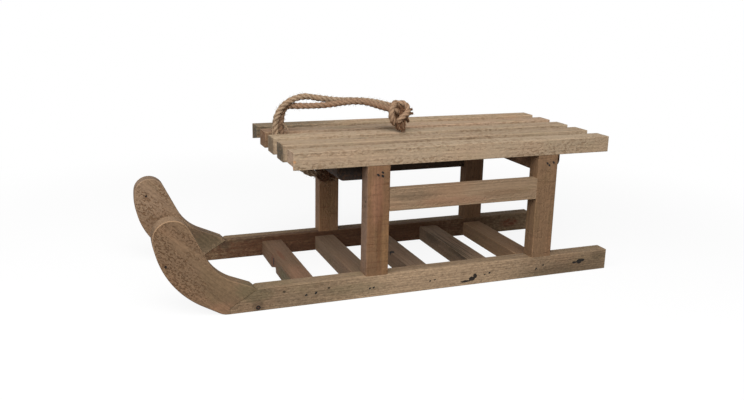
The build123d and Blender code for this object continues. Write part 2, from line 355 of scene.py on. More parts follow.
# How much each feature changes the wood's tone and its relief, and the mean of a noise
STREAK_TONE = 0.5
FIBRE_TONE = 0.45
TEAR_TONE = 0.35
TORN_LIFT = 0.12
FIBRE_RELIEF = 0.5
RING_RELIEF = 0.2
TORN_RELIEF = 0.7
SAW_RELIEF = 0.4
MEAN = 0.5

# How much of the colour under them worn edges and knots cover, and a horn's painted light on its crown and
# arris.
# The arris's painted highlight shows more on the crown, which lies between these heights.
EDGE_COVER = 0.28
KNOT_COVER = 0.97
CROWN_COVER = 0.85
ARRIS_COVER = 0.25
CROWN_ARRIS_COVER = 0.55
CROWN_HEIGHTS = (66, 92)


def colour_setting(label, description, default):
    return FloatVectorProperty(
        name=label, description=description, default=default, subtype="COLOR", size=3, min=0, max=1
    )


def length_setting(label, description, default):
    return FloatProperty(
        name=label, description=description, default=default, unit="LENGTH", precision=4, min=0
    )


def power_setting(label, description, default):
    return FloatProperty(name=label, description=description, default=default, unit="POWER")


class SledWood(bpy.types.PropertyGroup):
    deck: colour_setting("Deck", "Bleached wood of the deck slats", srgb(159, 138, 114))
    tie: colour_setting("Ties", "Wood of the rails between the posts", srgb(143, 119, 95))
    runner: colour_setting("Runners", "Wood of the runners", srgb(132, 112, 90))
    post: colour_setting("Posts", "Reddish wood of the posts", srgb(127, 97, 72))
    horn: colour_setting("Horns", "Rough sawn wood of the horns", srgb(127, 102, 78))
    floor_slat: colour_setting("Floor slats", "Darker wood between the runners", srgb(116, 95, 76))
    bearer: colour_setting("Bearers", "Sawn faces of the slabs under the deck", srgb(104, 78, 58))
    ring_spacing: length_setting("Ring spacing", "Width of a year's growth", 3.1 * MM)
    relief: length_setting("Relief", "Depth of the torn and weathered grain", 0.5 * MM)


class SledRope(bpy.types.PropertyGroup):
    diameter: length_setting("Diameter", "Diameter of one rope strand", 8.0 * MM)
    lay: length_setting("Lay", "Length in which a strand's plies turn once", 20.0 * MM)
    plies: IntProperty(name="Plies", description="Plies twisted into one strand", default=3, min=2, max=4)
    fuzz: FloatProperty(name="Fuzz", description="Loose fibres on a square centimetre", default=9.0, min=0)
    fibre_length: length_setting("Fibre length", "Longest loose fibre", 4.0 * MM)
    colour: colour_setting("Rope", "Bleached fibre", srgb(160, 138, 114))
    # Colour painted as shade into the valleys between the plies
    shade: colour_setting("Shade", "Fibre between the plies", srgb(122, 98, 78))
    frayed: colour_setting("Frayed ends", "Dirty fibre of the cut ends", srgb(112, 82, 60))


class SledFastenings(bpy.types.PropertyGroup):
    nail_length: length_setting("Nail length", "Longer side of a nail's head", 3.5 * MM)
    nail_width: length_setting("Nail width", "Shorter side of a nail's head", 2.2 * MM)
    nail_proud: length_setting("Nail height", "Height of a nail's head over the wood", 0.25 * MM)
    screw: length_setting("Screw", "Diameter of the screw in each scarf", 5.2 * MM)
    iron: colour_setting("Iron", "Rusted iron", srgb(11, 9, 8))


class SledStage(bpy.types.PropertyGroup):
    floor: length_setting("Floor", "Side of the square floor", 8.0)
    lens: FloatProperty(name="Lens", description="Focal length in millimetres", default=38.04, min=1)
    key: power_setting("Key lamp", "Power of the lamp over the left side", 36)
    fill: power_setting("Fill lamp", "Power of the lamp over the front", 16)
    ambient: FloatProperty(name="Ambient", description="Light from all round", default=0.12, min=0)
    shadow: FloatProperty(
        name="Shadow", description="How much of the floor's shadow shows", default=0.12, subtype="FACTOR"
    )


class SledSettings(bpy.types.PropertyGroup):
    wood: PointerProperty(type=SledWood)
    rope: PointerProperty(type=SledRope)
    fastenings: PointerProperty(type=SledFastenings)
    stage: PointerProperty(type=SledStage)


class Wire:
    """A node's output. Python's operators on it add Math nodes to its board."""

    def __init__(self, board, socket):
        self.board = board
        self.socket = socket

    def out(self, name):
        """Another output of the same node."""
        return Wire(self.board, self.socket.node.outputs[name])

    def math(self, operation, first, second):
        return self.board.node("ShaderNodeMath", {"operation": operation}, [first, second])

    def __add__(self, other):
        return self.math("ADD", self, other)

    def __radd__(self, other):
        return self.math("ADD", other, self)

    def __sub__(self, other):
        return self.math("SUBTRACT", self, other)

    def __rsub__(self, other):
        return self.math("SUBTRACT", other, self)

    def __mul__(self, other):
        return self.math("MULTIPLY", self, other)

    def __rmul__(self, other):
        return self.math("MULTIPLY", other, self)

    def __truediv__(self, other):
        return self.math("DIVIDE", self, other)


class Board:
    """A node tree that one method fills in."""

    def __init__(self, tree):
        self.tree = tree

    def node(self, kind, settings=None, inputs=(), output=0):
        """Adds a node, makes its settings, then sets or links its inputs by name or number."""
        made = self.tree.nodes.new(kind)
        for key, value in (settings or {}).items():
            setattr(made, key, value)
        pairs = inputs.items() if isinstance(inputs, dict) else enumerate(inputs)
        for key, value in pairs:
            if isinstance(value, Wire):
                self.tree.links.new(value.socket, made.inputs[key])
            else:
                made.inputs[key].default_value = value
        return Wire(self, made.outputs[output]) if made.outputs else None

    def fade(self, value, low, high):
        """0 below low, 1 above high, and smooth between them."""
        inputs = {"Value": value, "From Min": low, "From Max": high}
        return self.node("ShaderNodeMapRange", {"interpolation_type": "SMOOTHSTEP"}, inputs)

    def blend(self, base, over, amount):
        """One colour laid over another."""
        base, over = (value if isinstance(value, Wire) else (*value, 1.0) for value in (base, over))
        return self.node("ShaderNodeMix", {"data_type": "RGBA"}, {0: amount, 6: base, 7: over}, 2)

    def scaled(self, colour, amount):
        return self.node("ShaderNodeVectorMath", {"operation": "SCALE"}, {0: colour, 3: amount})

    def stretched(self, place, factors, offset):
        inputs = [place, tuple(factors), tuple(offset)]
        return self.node("ShaderNodeVectorMath", {"operation": "MULTIPLY_ADD"}, inputs)

    def length(self, vector):
        return self.node("ShaderNodeVectorMath", {"operation": "LENGTH"}, [vector], 1)

    def parts(self, vector):
        return self.node("ShaderNodeSeparateXYZ", None, [vector])

    def cloud(self, place, detail, scale=1.0):
        """Plain noise."""
        return self.node("ShaderNodeTexNoise", None, {"Vector": place, "Scale": scale, "Detail": detail})

    def surface(self, colour, roughness, height, depth, gloss=0.25):
        """The finished surface: colour, roughness, and relief of this depth in metres."""
        bump = self.node("ShaderNodeBump", None, {"Strength": 1.0, "Distance": depth, "Height": height})
        inputs = {
            "Base Color": colour,
            "Roughness": roughness,
            "Specular IOR Level": gloss,
            "Normal": bump,
        }
        shader = self.node("ShaderNodeBsdfPrincipled", None, inputs)
        self.node("ShaderNodeOutputMaterial", None, {"Surface": shader})


def new_material(name):
    material = bpy.data.materials.new(name)
    material.use_nodes = True
    material.node_tree.nodes.clear()
    return material


class WoodBoard(Board):
    """Shader board for one piece of wood, with its grain along one axis of the piece."""

    # How far apart pieces and layers lie in the noise
    SEED_STEP = 13.7
    LAYER_STEPS = (3.1, 5.3, 7.9)

    # Year rings: how far they wander, in rings, and how much slower they change along the grain
    RING_WANDER = 2.6
    RING_RUN = 0.02

    # How ragged the outlines of marks and worn edges are, and how far in the wear goes
    MARK_RAGGED = 0.9
    EDGE_RAGGED = 3.0 * MM
    EDGE_LIMITS = (-2.0 * MM, 0.3 * MM)

    def __init__(self, material, axis, seed, turn=0.0):
        super().__init__(material.node_tree)
        self.axis = AXES.index(axis)
        self.seed = seed
        self.place = self.node("ShaderNodeTexCoord", output=3)
        self.normal = self.place.out("Normal")
        self.grain = self.place
        if turn:
            inputs = {"Vector": self.place, "Rotation": (0.0, turn, 0.0)}
            self.grain = self.node("ShaderNodeMapping", {"vector_type": "POINT"}, inputs)
        self.layers = 0

    def noise(self, along, across, detail=2.0, level=1.0):
        """Noise with features of these lengths, in millimetres along and across the grain.

        level makes the features longer across a level face than down a side.
        """
        self.layers += 1
        factors = [1 / (across * MM), 1 / (across * level * MM), 1 / (across * MM)]
        factors[self.axis] = 1 / (along * MM)
        offset = [self.seed * self.SEED_STEP + self.layers * step for step in self.LAYER_STEPS]
        spot = self.stretched(self.grain, factors, offset)
        return self.cloud(spot, detail)

    def rings(self, pith, spacing, wobble):
        """Year rings round a pith line, as 0 in early wood and 1 in the late wood's dark line."""
        factors = [1.0] * 3
        factors[self.axis] = self.RING_RUN
        centre = self.stretched(self.grain, factors, [-part * MM for part in pith])
        turns = (self.length(centre) + (wobble - MEAN) * (self.RING_WANDER * spacing)) / spacing
        phase = self.node("ShaderNodeMath", {"operation": "FRACT"}, [turns])
        return self.fade(phase, 0.3, 0.86) * (1 - self.fade(phase, 0.9, 1.0))

    def mark(self, centre, half_sizes, ragged, crisp=False):
        """1 inside a ragged ellipsoid given in millimetres, 0 outside."""
        factors = [1 / (size * MM) for size in half_sizes]
        offset = [-place / size for place, size in zip(centre, half_sizes)]
        reach = self.length(self.stretched(self.place, factors, offset))
        reach = reach + (ragged - MEAN) * self.MARK_RAGGED
        return 1 - (self.fade(reach, 0.8, 1.0) if crisp else self.fade(reach, 0.4, 1.1))

    def edge(self, low, high, ragged):
        """1 on the edges of a box, 0 a little way in."""
        middle, half = (low + high) / 2, (high - low) / 2
        offset = self.stretched(self.place, (1, 1, 1), -middle)
        inside = self.node("ShaderNodeVectorMath", {"operation": "ABSOLUTE"}, [offset])
        inside = self.stretched(inside, (1, 1, 1), -half)
        split = self.parts(inside)
        x, y, z = (split.out(axis) for axis in AXES)
        second = x.math("MAXIMUM", x.math("MINIMUM", x, y), x.math("MINIMUM", x.math("MAXIMUM", x, y), z))
        return self.fade(second + (ragged - MEAN) * self.EDGE_RAGGED, *self.EDGE_LIMITS)

    def arris(self):
        """1 on the narrow slanting faces that ease a piece's edges along its left and right sides."""
        across = self.parts(self.normal).out("Y")
        across = across * across
        return self.fade(across, 0.12, 0.3) * (1 - self.fade(across, 0.7, 0.88))

    def above(self, low, high):
        """0 below one height and 1 above another, in millimetres."""
        return self.fade(self.parts(self.place).out("Z"), low * MM, high * MM)

    def upward(self):
        """1 where the surface looks up."""
        return self.fade(self.parts(self.normal).out("Z"), 0.35, 0.9)

    def end_grain(self):
        """1 where the surface is cut across the grain."""
        facing = self.parts(self.normal).out(AXES[self.axis])
        return self.fade(facing * facing, 0.5, 0.8)


def old_wood(
    node, axis, colour, pith, torn=0.3, bands=0.0, pink=0.3, olive=0.3, turn=0.0, grain=0.08,
    patchy=False, level=1.0, specks=0.2,
):
    """Dresses one node in weathered, rough sawn softwood.

    The pith is the centre of the tree, in millimetres, and turn is the angle of the grain to its axis. torn,
    bands, pink, olive, grain and specks are strengths: of the saw's torn fibres and cross bands, of two tints
    in patches, of the year rings and of small spots. patchy gathers the torn fibres at the front of a horn
    instead of in rows, and level makes them longer across a level face.
    """
    wood = bpy.context.scene.sled.wood
    colour = tinted(colour, *TINTS.get(node, (1, 1, 1)))
    material = new_material(f"{node}_wood")
    board = WoodBoard(material, axis, sorted(NODES).index(node), turn)
    streak = board.noise(*STREAK)
    fibre = board.noise(*FIBRE)
    speck = board.noise(*SPECK)
    tear_size, tear_limits, row_size, row_limits = TORN_PATCHES if patchy else TORN_ROWS
    tear = board.noise(*tear_size, level)
    rows = board.noise(*row_size)
    base = colour
    for (size, limits, factors), strength in ((ROSY, pink), (OLIVE, olive)):
        patch = board.fade(board.noise(*size), *limits)
        base = board.blend(base, tinted(colour, *factors), patch * strength)
    ring = board.rings(pith, wood.ring_spacing, board.noise(*RING_WOBBLE))
    ragged = board.noise(*RAGGED)
    end = board.end_grain()

    dots = board.fade(tear, *tear_limits) * board.fade(rows, *row_limits)
    if patchy:
        dots = dots * (TORN_ELSEWHERE + (1 - TORN_ELSEWHERE) * board.mark(*TORN_FRONT, ragged))
    tone = 1.0 + (streak - MEAN) * STREAK_TONE + (fibre - MEAN) * FIBRE_TONE + (tear - MEAN) * TEAR_TONE
    tone = tone + (speck - MEAN) * specks - ring * grain
    height = fibre * FIBRE_RELIEF + ring * RING_RELIEF - dots * TORN_RELIEF
    if bands:
        step = board.noise(*SAW_STEP)
        cut = board.fade(board.noise(*SAW_LINE), 0.6, 0.7)
        base = board.blend(base, tinted(colour, *SAWN), cut * bands)
        tone = tone + (step - MEAN) * bands
        height = height - cut * SAW_RELIEF
    base = board.blend(base, tinted(colour, *END_GRAIN), end * (0.2 + 0.5 * (1 - fibre)))
    for centre, half_sizes, stain, strength in STAINS.get(node, ()):
        base = board.blend(base, stain, board.mark(centre, half_sizes, ragged) * strength)
    base = board.blend(base, tinted(colour, *TORN), dots * torn)
    base = board.scaled(base, tone + TORN_LIFT * torn)
    if not node.startswith("bearer"):
        edge = board.edge(*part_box(node), ragged)
        base = board.blend(base, tinted(colour, *WORN), edge * (1 - end) * EDGE_COVER)
    # Painted light and shade on the horns' crowns, and a painted highlight on their arrises
    if node in CROWN_LIGHT_AND_SHADE:
        top, arris = CROWN_LIGHT_AND_SHADE[node]
        high = board.above(*CROWN_HEIGHTS)
        base = board.blend(base, tinted(colour, *top), board.upward() * high * CROWN_COVER)
        shown = ARRIS_COVER + CROWN_ARRIS_COVER * high
        base = board.blend(base, tinted(colour, *arris), board.arris() * shown)
    for centre, half_sizes, stain in KNOTS.get(node, ()):
        base = board.blend(base, stain, board.mark(centre, half_sizes, ragged, crisp=True) * KNOT_COVER)
    board.surface(base, 0.92 - 0.2 * fibre, height, wood.relief)
    mesh = NODES[node].data
    mesh.materials.clear()
    mesh.materials.append(material)


def rope_material(name, colour, shade):
    """Twisted fibre: fine lines along the strand, with painted shade between the plies."""
    material = new_material(name)
    board = Board(material.node_tree)
    along = board.node("ShaderNodeUVMap", {"uv_map": "rope"})
    crest = board.node("ShaderNodeAttribute", {"attribute_name": "crest"}, output=2)
    fine, broad = (
        board.cloud(board.stretched(along, factors, offset), detail)
        for factors, offset, detail in (ROPE_FINE, ROPE_BROAD)
    )
    # Painted shade: the shade colour fills the valleys between the plies, where the crest is low
    light = board.fade(crest + (fine - MEAN) * 1.3, -0.15, 0.8)
    base = board.blend(shade, colour, light)
    base = board.blend(base, tinted(colour, 0.95, 0.82, 0.74), board.fade(broad, 0.45, 0.7) * 0.5)
    base = board.scaled(base, 0.56 + fine * 0.78)
    board.surface(base, 0.9, fine * 0.8 + crest * 0.3, 0.5 * MM, 0.15)
    return material


def fibre_material(name, colour):
    """Single loose fibres, lighter and darker in places."""
    material = new_material(name)
    board = Board(material.node_tree)
    change = board.cloud(board.node("ShaderNodeTexCoord", output=3), 1.0, 300.0)
    base = board.scaled(colour, 0.6 + change * 0.8)
    board.surface(base, 0.85, change, 0.05 * MM, 0.2)
    return material


def plain_mesh(holder):
    """A new mesh with an object's evaluated shape."""
    return bpy.data.meshes.new_from_object(holder.evaluated_get(bpy.context.evaluated_depsgraph_get()))


def spline_points(route, fineness):
    """Points along the smooth spline that has this route as its control points."""
    curve = bpy.data.curves.new("route", "CURVE")
    curve.dimensions = "3D"
    spline = curve.splines.new("NURBS")
    spline.points.add(len(route) - 1)
    for point, place in zip(spline.points, route):
        point.co = (*(Vector(place) * MM), 1.0)
    spline.order_u = 3
    spline.use_endpoint_u = True
    spline.resolution_u = fineness
    holder = bpy.data.objects.new("route", curve)
    bpy.context.scene.collection.objects.link(holder)
    line = plain_mesh(holder)
    points = [vertex.co.copy() for vertex in line.vertices]
    bpy.data.objects.remove(holder)
    bpy.data.curves.remove(curve)
    bpy.data.meshes.remove(line)
    return points


def carried_frames(points):
    """Two directions across the line at each point, which don't turn round it."""
    frames = []
    side = None
    last = len(points) - 1
    for i in range(len(points)):
        tangent = (points[min(i + 1, last)] - points[max(i - 1, 0)]).normalized()
        if side is None:
            side = tangent.orthogonal()
        side = (side - tangent * side.dot(tangent)).normalized()
        frames.append((side, tangent.cross(side)))
    return frames


def tube_faces(first, rings, sides):
    """Faces between neighbouring rings of vertices, which start at the vertex first."""
    faces = []
    for ring in range(rings - 1):
        for step in range(sides):
            low, next_low = first + ring * sides + step, first + ring * sides + (step + 1) % sides
            faces.append((low, next_low, next_low + sides, low + sides))
    return faces


class RopeMesh:
    """Collects lengths of laid rope into one mesh."""

    STEPS_PER_PLY = 10
    PLY_SHARE = 0.66

    # Uneven thickness, lay and surface. Columns: strength, features in a metre
    LUMPS = (0.08, 90)
    DRIFT = (0.5, 40)
    ROUGHNESS = (0.12, 700)

    def __init__(self, rope):
        self.rope = rope
        self.verts = []
        self.faces = []
        self.crests = []
        self.uvs = []

    def outline(self, turn, thickness):
        """Round the rope's section: direction, radius and crest, from plies that lie side by side."""
        plies = self.rope.plies
        radius = self.rope.diameter / 2 * thickness
        ply = radius * self.PLY_SHARE
        offset = radius - ply
        for step in range(plies * self.STEPS_PER_PLY):
            angle = 2 * math.pi * step / (plies * self.STEPS_PER_PLY)
            from_ply = (step / self.STEPS_PER_PLY) % 1.0 - 0.5
            lean = from_ply * 2 * math.pi / plies
            reach = offset * math.cos(lean) + math.sqrt(max(ply ** 2 - (offset * math.sin(lean)) ** 2, 0))
            yield angle + turn, reach, 1 - abs(from_ply) * 2

    def uneven(self, kind, place):
        """A little more or less, by chance, at this place."""
        strength, rate = kind
        return strength * noise.noise(place * rate)

    def lay(self, points, start_turn=0.0, thickness=(1.0, 1.0)):
        """Lays rope along the points, closed at both ends, with these thicknesses at its start and end."""
        sides = self.rope.plies * self.STEPS_PER_PLY
        first = len(self.verts)
        run = 0.0
        for i, (point, (side, other)) in enumerate(zip(points, carried_frames(points))):
            if i:
                run += (point - points[i - 1]).length
            lumpy = 1 + self.uneven(self.LUMPS, point)
            turn = start_turn + 2 * math.pi * run / self.rope.lay + self.uneven(self.DRIFT, point)
            width = thickness[0] + (thickness[1] - thickness[0]) * (i / (len(points) - 1)) ** 2
            for angle, reach, crest in self.outline(turn, lumpy * width):
                arm = side * math.cos(angle) + other * math.sin(angle)
                rough = 1 + self.uneven(self.ROUGHNESS, point + arm * reach)
                self.verts.append(point + arm * (reach * rough))
                self.crests.append(crest)
                self.uvs.append((run, angle / (2 * math.pi)))
        self.faces += tube_faces(first, len(points), sides)
        self.close(points[0], first, sides, reverse=True)
        self.close(points[-1], first + (len(points) - 1) * sides, sides, reverse=False)

    def close(self, centre, start, sides, reverse):
        """Closes one end with faces from the ring's vertices to its centre."""
        middle = len(self.verts)
        self.verts.append(centre.copy())
        self.crests.append(0.0)
        self.uvs.append(self.uvs[start])
        for step in range(sides):
            ends = (start + step, start + (step + 1) % sides)
            self.faces.append((middle, ends[1], ends[0]) if reverse else (middle, *ends))

    def piece(self, name, material):
        mesh = bpy.data.meshes.new(name)
        mesh.from_pydata(self.verts, [], self.faces)
        layer = mesh.uv_layers.new(name="rope")
        for loop in mesh.loops:
            layer.data[loop.index].uv = self.uvs[loop.vertex_index]
        crest = mesh.attributes.new("crest", "FLOAT", "POINT")
        crest.data.foreach_set("value", self.crests)
        mesh.polygons.foreach_set("use_smooth", [True] * len(mesh.polygons))
        mesh.materials.append(material)
        return new_piece(name, mesh)


def new_piece(name, mesh):
    piece = bpy.data.objects.new(name, mesh)
    bpy.context.scene.collection.objects.link(piece)
    return piece


def through_nodes(name, mesh, tree, values):
    """Runs a geometry tree on a mesh and returns a piece with the plain result."""
    holder = new_piece(name + "_source", mesh)
    modifier = holder.modifiers.new("tree", "NODES")
    modifier.node_group = tree
    for item in tree.interface.items_tree:
        if item.in_out == "INPUT" and item.name in values:
            modifier[item.identifier] = values[item.name]
    result = plain_mesh(holder)
    holder.modifiers.remove(modifier)
    bpy.data.objects.remove(holder)
    result.name = name
    return new_piece(name, result)


def geometry_tree(name, inputs):
    """A geometry tree with these inputs. Returns it, its board and a wire for each input."""
    tree = bpy.data.node_groups.new(name, "GeometryNodeTree")
    tree.interface.new_socket("Geometry", in_out="OUTPUT", socket_type="NodeSocketGeometry")
    for label, kind in {"Geometry": "NodeSocketGeometry", **inputs}.items():
        tree.interface.new_socket(label, in_out="INPUT", socket_type=kind)
    board = Board(tree)
    entry = board.node("NodeGroupInput")
    return tree, board, {label: entry.out(label) for label in ("Geometry", *inputs)}


def close_tree(board, points, shape, rotation, scale, material):
    """Puts a shape on the points, gives it its material and hands it out as a plain mesh."""
    instances = board.node("GeometryNodeInstanceOnPoints", None, {
        "Points": points, "Instance": shape, "Rotation": rotation, "Scale": scale,
    })
    real = board.node("GeometryNodeRealizeInstances", None, [instances])
    painted = board.node("GeometryNodeSetMaterial", None, {"Geometry": real, "Material": material})
    board.node("NodeGroupOutput", None, [painted])


def random_value(board, low, high, seed):
    inputs = {2: low, 3: high, 8: seed}
    return board.node("FunctionNodeRandomValue", {"data_type": "FLOAT"}, inputs, 1)


def vector(board, *parts):
    return board.node("ShaderNodeCombineXYZ", None, parts)


def named(board, name, kind="FLOAT"):
    """What each point carries under this name."""
    return board.node("GeometryNodeInputNamedAttribute", {"data_type": kind}, {"Name": name})


def turned(board, rotation, angles):
    """A rotation, turned on by these angles about its own axes."""
    turn = board.node("FunctionNodeEulerToRotation", None, [angles])
    inputs = {"Rotation": rotation, "Rotate By": turn}
    return board.node("FunctionNodeRotateRotation", {"rotation_space": "LOCAL"}, inputs)


def fibre_tree():
    """Loose fibres that stand on a surface, bent and leaning each its own way."""
    tree, board, given = geometry_tree("Loose fibres", {
        "Density": "NodeSocketFloat", "Length": "NodeSocketFloat", "Thickness": "NodeSocketFloat",
        "Lean": "NodeSocketFloat", "Seed": "NodeSocketInt", "Material": "NodeSocketMaterial",
    })
    inputs = {"Mesh": given["Geometry"], "Density": given["Density"], "Seed": given["Seed"]}
    points = board.node("GeometryNodeDistributePointsOnFaces", {"distribute_method": "RANDOM"}, inputs)
    line = board.node("GeometryNodeCurveQuadraticBezier", None, {
        "Resolution": 4, "Start": (0, 0, 0), "Middle": (0.06, 0, 0.55), "End": (0.42, 0.1, 0.86),
    })
    section = board.node("GeometryNodeCurvePrimitiveCircle", {"mode": "RADIUS"}, {
        "Resolution": 3, "Radius": given["Thickness"] / given["Length"],
    })
    fibre = board.node("GeometryNodeCurveToMesh", None, {
        "Curve": line, "Profile Curve": section, "Fill Caps": True,
    })
    lean = given["Lean"]
    seeds = [given["Seed"] + step for step in range(11, 15)]
    tilts = [random_value(board, 0 - lean, lean, seed) for seed in seeds[:2]]
    spin = random_value(board, -math.pi, math.pi, seeds[2])
    rotation = turned(board, points.out("Rotation"), vector(board, *tilts, spin))
    size = given["Length"] * random_value(board, 0.3, 1.0, seeds[3])
    close_tree(board, points, fibre, rotation, size, given["Material"])
    return tree


def nail_tree():
    """Nail heads at points, each with the facing, turn and size that its point carries."""
    tree, board, given = geometry_tree("Nail heads", {
        "Long": "NodeSocketFloat", "Wide": "NodeSocketFloat", "Proud": "NodeSocketFloat",
        "Seed": "NodeSocketInt", "Material": "NodeSocketMaterial",
    })
    head = board.node("GeometryNodeMeshCone", {"fill_type": "NGON"}, {
        "Vertices": 10, "Radius Top": 0.32, "Radius Bottom": 0.5, "Depth": 1.0,
    })
    facing = named(board, "facing", "FLOAT_VECTOR")
    outward = board.node("FunctionNodeAlignRotationToVector", {"axis": "Z"}, {"Vector": facing})
    rotation = turned(board, outward, vector(board, 0, 0, named(board, "lean")))
    change = named(board, "size") * random_value(board, 0.9, 1.1, given["Seed"])
    size = vector(board, given["Long"] * change, given["Wide"] * change, given["Proud"])
    close_tree(board, given["Geometry"], head, rotation, size, given["Material"])
    return tree


class SLED_OT_stage(bpy.types.Operator):
    """Camera at the photograph's angle, white floor and soft lamps"""

    bl_idname = "sled.stage"
    bl_label = "Stage"

    # Columns: setting of its power, side of the square lamp and its place, in metres
    LAMPS = [("key", 1.4, (0.3, 1.25, 1.3)), ("fill", 1.2, (1.6, 0.55, 1.1))]

    # Colour of the floor in the light that it throws back, and where the sled's shadow fades, in metres
    FLOOR_GREY = (0.3, 0.29, 0.28)
    SHADOW_LIMITS = (0.45, 0.9)

    def execute(self, context):
        stage = context.scene.sled.stage
        context.scene.view_settings.view_transform = "Standard"
        self.camera(context.scene, stage)
        self.floor(stage)
        self.world(context.scene, stage)
        for setting, size, place in self.LAMPS:
            self.lamp(f"{setting}_lamp", getattr(stage, setting), size, place)
        return {"FINISHED"}

    def camera(self, scene, stage):
        data = bpy.data.cameras.new("camera")
        data.lens = stage.lens
        camera = bpy.data.objects.new("camera", data)
        camera.rotation_mode = "QUATERNION"
        level = (CAMERA_AIM - CAMERA_PLACE).to_track_quat("-Z", "Y")
        camera.rotation_quaternion = level @ Quaternion((0, 0, 1), CAMERA_ROLL)
        camera.location = CAMERA_PLACE
        scene.collection.objects.link(camera)
        scene.camera = camera

    def seen(self, board):
        """1 for what the camera sees, straight or in a reflection."""
        path = board.node("ShaderNodeLightPath")
        camera, gloss, through = (path.out(f"Is {kind} Ray") for kind in ("Camera", "Glossy", "Transmission"))
        return camera.math("MAXIMUM", camera, gloss.math("MAXIMUM", gloss, through))

    def floor(self, stage):
        half = stage.floor / 2
        mesh = bpy.data.meshes.new("floor")
        corners = [(-half, -half, 0), (half, -half, 0), (half, half, 0), (-half, half, 0)]
        mesh.from_pydata(corners, [], [(0, 1, 2, 3)])
        material = new_material("pale_floor")
        board = Board(material.node_tree)
        seen = self.seen(board)
        away = board.length(board.node("ShaderNodeTexCoord", output=3))
        away = board.fade(away, *self.SHADOW_LIMITS)
        colour = board.blend(self.FLOOR_GREY, (1.0, 1.0, 1.0), seen)
        lit = board.node("ShaderNodeBsdfDiffuse", None, {"Color": colour})
        white = board.node("ShaderNodeEmission", None, {"Color": (1, 1, 1, 1), "Strength": 1.0})
        mixed = board.node("ShaderNodeMixShader", None, [seen * (1 - stage.shadow * (1 - away)), lit, white])
        board.node("ShaderNodeOutputMaterial", None, {"Surface": mixed})
        mesh.materials.append(material)
        new_piece("floor", mesh)

    def world(self, scene, stage):
        world = bpy.data.worlds.new("studio")
        world.use_nodes = True
        world.node_tree.nodes.clear()
        board = Board(world.node_tree)
        strength = stage.ambient + self.seen(board) * (1 - stage.ambient)
        light = board.node("ShaderNodeBackground", None, {"Color": (1, 1, 1, 1), "Strength": strength})
        board.node("ShaderNodeOutputWorld", None, {"Surface": light})
        scene.world = world

    def lamp(self, name, power, size, place):
        data = bpy.data.lights.new(name, "AREA")
        data.energy = power
        data.size = size
        lamp = bpy.data.objects.new(name, data)
        lamp.location = place
        lamp.rotation_euler = (-Vector(place)).to_track_quat("-Z", "Y").to_euler()
        bpy.context.scene.collection.objects.link(lamp)


